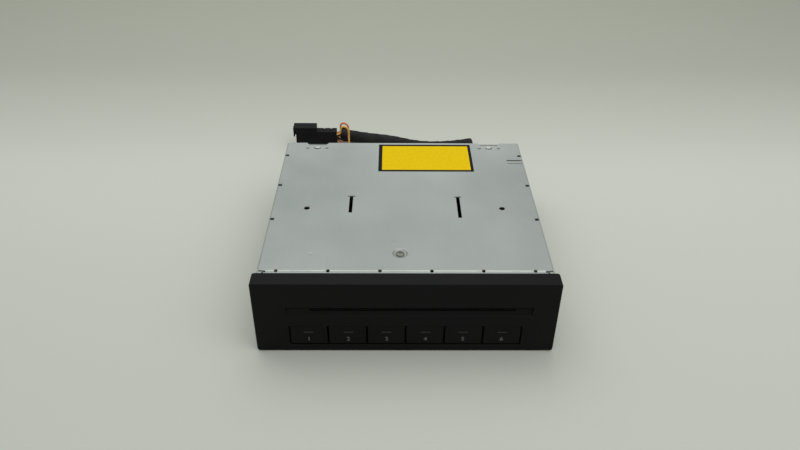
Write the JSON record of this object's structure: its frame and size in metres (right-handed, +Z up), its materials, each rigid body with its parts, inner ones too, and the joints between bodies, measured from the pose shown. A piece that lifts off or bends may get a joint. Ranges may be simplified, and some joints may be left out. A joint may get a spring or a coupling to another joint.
{
  "type": "car cd changer",
  "caption": "Flat sheet-steel car disc changer with a black fascia, one disc slot, a row of numbered keys, a moving disc stack inside and a short taped cable.",
  "frame": {"origin": "on the ground under the middle of the unit without its cable", "axes": "+X to the right seen from the front, +Y towards the back, +Z up"},
  "size_m": [0.187, 0.2767, 0.053],
  "materials": {
    "black_moulding": "finely grained",
    "dark_moulding": "satin",
    "white_moulding": "satin",
    "circuit_board": "solder resist",
    "zinc_steel": "zinc plated",
    "bright_steel": "rolled",
    "brass": "cut",
    "rubber": "matt",
    "felt": "napped",
    "cloth_tape": "wound tape",
    "orange_insulation": "satin",
    "yellow_insulation": "satin",
    "black_insulation": "satin"
  },
  "bodies": {
    "case": {"fascia": "black_moulding", "key_board": "circuit_board", "slot_felt": "felt", "chassis_tray": "zinc_steel", "top_cover": "zinc_steel", "rear_panel": "zinc_steel", "cover_screw": "bright_steel", "side_screw_left": "bright_steel", "side_screw_right": "bright_steel", "mech_frame": "bright_steel", "damper_front_left": "rubber", "damper_front_right": "rubber", "damper_rear_left": "rubber", "damper_rear_right": "rubber", "lift_motor": "bright_steel", "load_motor": "bright_steel", "feed_bracket": "bright_steel", "disc_guide": "dark_moulding", "swing_motor": "bright_steel", "main_board": "circuit_board", "rear_socket": "white_moulding", "cable_plug": "black_moulding", "cable_sleeve": "cloth_tape", "wire_orange": "orange_insulation", "wire_yellow": "yellow_insulation", "wire_black": "black_insulation", "far_connector": "black_moulding"},
    "key_1": {"button_1": "black_moulding"},
    "key_2": {"button_2": "black_moulding"},
    "key_3": {"button_3": "black_moulding"},
    "key_4": {"button_4": "black_moulding"},
    "key_5": {"button_5": "black_moulding"},
    "key_6": {"button_6": "black_moulding"},
    "flap": {"dust_flap": "dark_moulding"},
    "tray_stack": {"carrier_left": "dark_moulding", "carrier_right": "dark_moulding", "disc_tray_1": "dark_moulding", "disc_tray_2": "dark_moulding", "disc_tray_3": "dark_moulding", "disc_tray_4": "dark_moulding", "disc_tray_5": "dark_moulding", "disc_tray_6": "dark_moulding"},
    "slide_plate_left": {"slider_left": "bright_steel"},
    "slide_plate_right": {"slider_right": "bright_steel"},
    "cross_shaft": {"lift_shaft": "bright_steel", "lift_wheel": "white_moulding"},
    "lift_pinion": {"lift_motor_pinion": "brass"},
    "rollers": {"feed_shaft": "white_moulding", "feed_roller_left": "rubber", "feed_roller_right": "rubber"},
    "load_pinion": {"load_motor_pinion": "brass"},
    "play_arm": {"arm_deck": "bright_steel", "sled_motor": "bright_steel", "guide_rod_front": "bright_steel", "guide_rod_rear": "bright_steel", "spindle_motor": "bright_steel"},
    "arm_pinion": {"swing_pinion": "brass"},
    "disc_table": {"turntable": "dark_moulding"},
    "sled": {"pickup_sled": "dark_moulding"},
    "sled_gear": {"sled_pinion": "brass"}
  },
  "joints": [
    {"name": "button_1_press", "type": "slide", "parent": "case", "child": "key_1", "axis": [0, 1, 0], "range_m": [0, 0.0008], "stiffness_N_per_m": 400, "springref_m": -0.0015},
    {"name": "button_2_press", "type": "slide", "parent": "case", "child": "key_2", "axis": [0, 1, 0], "range_m": [0, 0.0008], "stiffness_N_per_m": 400, "springref_m": -0.0015},
    {"name": "button_3_press", "type": "slide", "parent": "case", "child": "key_3", "axis": [0, 1, 0], "range_m": [0, 0.0008], "stiffness_N_per_m": 400, "springref_m": -0.0015},
    {"name": "button_4_press", "type": "slide", "parent": "case", "child": "key_4", "axis": [0, 1, 0], "range_m": [0, 0.0008], "stiffness_N_per_m": 400, "springref_m": -0.0015},
    {"name": "button_5_press", "type": "slide", "parent": "case", "child": "key_5", "axis": [0, 1, 0], "range_m": [0, 0.0008], "stiffness_N_per_m": 400, "springref_m": -0.0015},
    {"name": "button_6_press", "type": "slide", "parent": "case", "child": "key_6", "axis": [0, 1, 0], "range_m": [0, 0.0008], "stiffness_N_per_m": 400, "springref_m": -0.0015},
    {"name": "flap_swing", "type": "hinge", "parent": "case", "child": "flap", "pos_m": [0.004, -0.08185, 0.037], "axis": [1, 0, 0], "range_deg": [0, 70], "stiffness_Nm_per_rad": 0.001, "springref_deg": -11.46},
    {"name": "stack_lift", "type": "slide", "parent": "case", "child": "tray_stack", "axis": [0, 0, 1], "range_m": [0, 0.0315]},
    {"name": "slider_left_travel", "type": "slide", "parent": "case", "child": "slide_plate_left", "axis": [0, 1, 0], "range_m": [0, 0.02801]},
    {"name": "slider_right_travel", "type": "slide", "parent": "case", "child": "slide_plate_right", "axis": [0, 1, 0], "range_m": [0, 0.02801]},
    {"name": "lift_shaft_turn", "type": "hinge", "parent": "case", "child": "cross_shaft", "pos_m": [0, -0.04285, 0.008], "axis": [-1, 0, 0], "range_deg": [0, 286.6]},
    {"name": "lift_pinion_turn", "type": "hinge", "parent": "case", "child": "lift_pinion", "pos_m": [-0.0558, -0.05185, 0.008], "axis": [1, 0, 0], "range_deg": [0, 573.2]},
    {"name": "feed_turn", "type": "hinge", "parent": "case", "child": "rollers", "pos_m": [0, -0.06345, 0.0373], "axis": [1, 0, 0], "continuous": true},
    {"name": "load_pinion_turn", "type": "hinge", "parent": "case", "child": "load_pinion", "pos_m": [-0.0714, -0.05358, 0.04089], "axis": [1, 0, 0], "continuous": true},
    {"name": "arm_swing", "type": "hinge", "parent": "case", "child": "play_arm", "pos_m": [0.064, -0.05845, 0.0185], "axis": [0, 0, -1], "range_deg": [0, 52.43]},
    {"name": "swing_pinion_turn", "type": "hinge", "parent": "case", "child": "arm_pinion", "pos_m": [0.07622, -0.054, 0.017], "axis": [0, 0, 1], "range_deg": [0, 118.1]},
    {"name": "turntable_spin", "type": "hinge", "parent": "play_arm", "child": "disc_table", "pos_m": [-0.03441, -0.05845, 0.026], "axis": [0, 0, 1], "continuous": true},
    {"name": "sled_travel", "type": "slide", "parent": "play_arm", "child": "sled", "axis": [1, 0, 0], "range_m": [0, 0.035]},
    {"name": "sled_pinion_turn", "type": "hinge", "parent": "play_arm", "child": "sled_gear", "pos_m": [0.0135, -0.04595, 0.0262], "axis": [0, 0, 1], "range_deg": [0, 668.6]}
  ],
  "couplings": [
    {"joint": "slider_left_travel", "follows": "stack_lift", "ratio": 0.88889},
    {"joint": "slider_right_travel", "follows": "stack_lift", "ratio": 0.88889},
    {"joint": "lift_shaft_turn", "follows": "stack_lift", "rad_per_m": 158.73},
    {"joint": "lift_pinion_turn", "follows": "stack_lift", "rad_per_m": 317.46},
    {"joint": "load_pinion_turn", "follows": "feed_turn", "ratio": -2.5},
    {"joint": "swing_pinion_turn", "follows": "arm_swing", "ratio": 2.25},
    {"joint": "sled_pinion_turn", "follows": "sled_travel", "rad_per_m": 333.33}
  ]
}
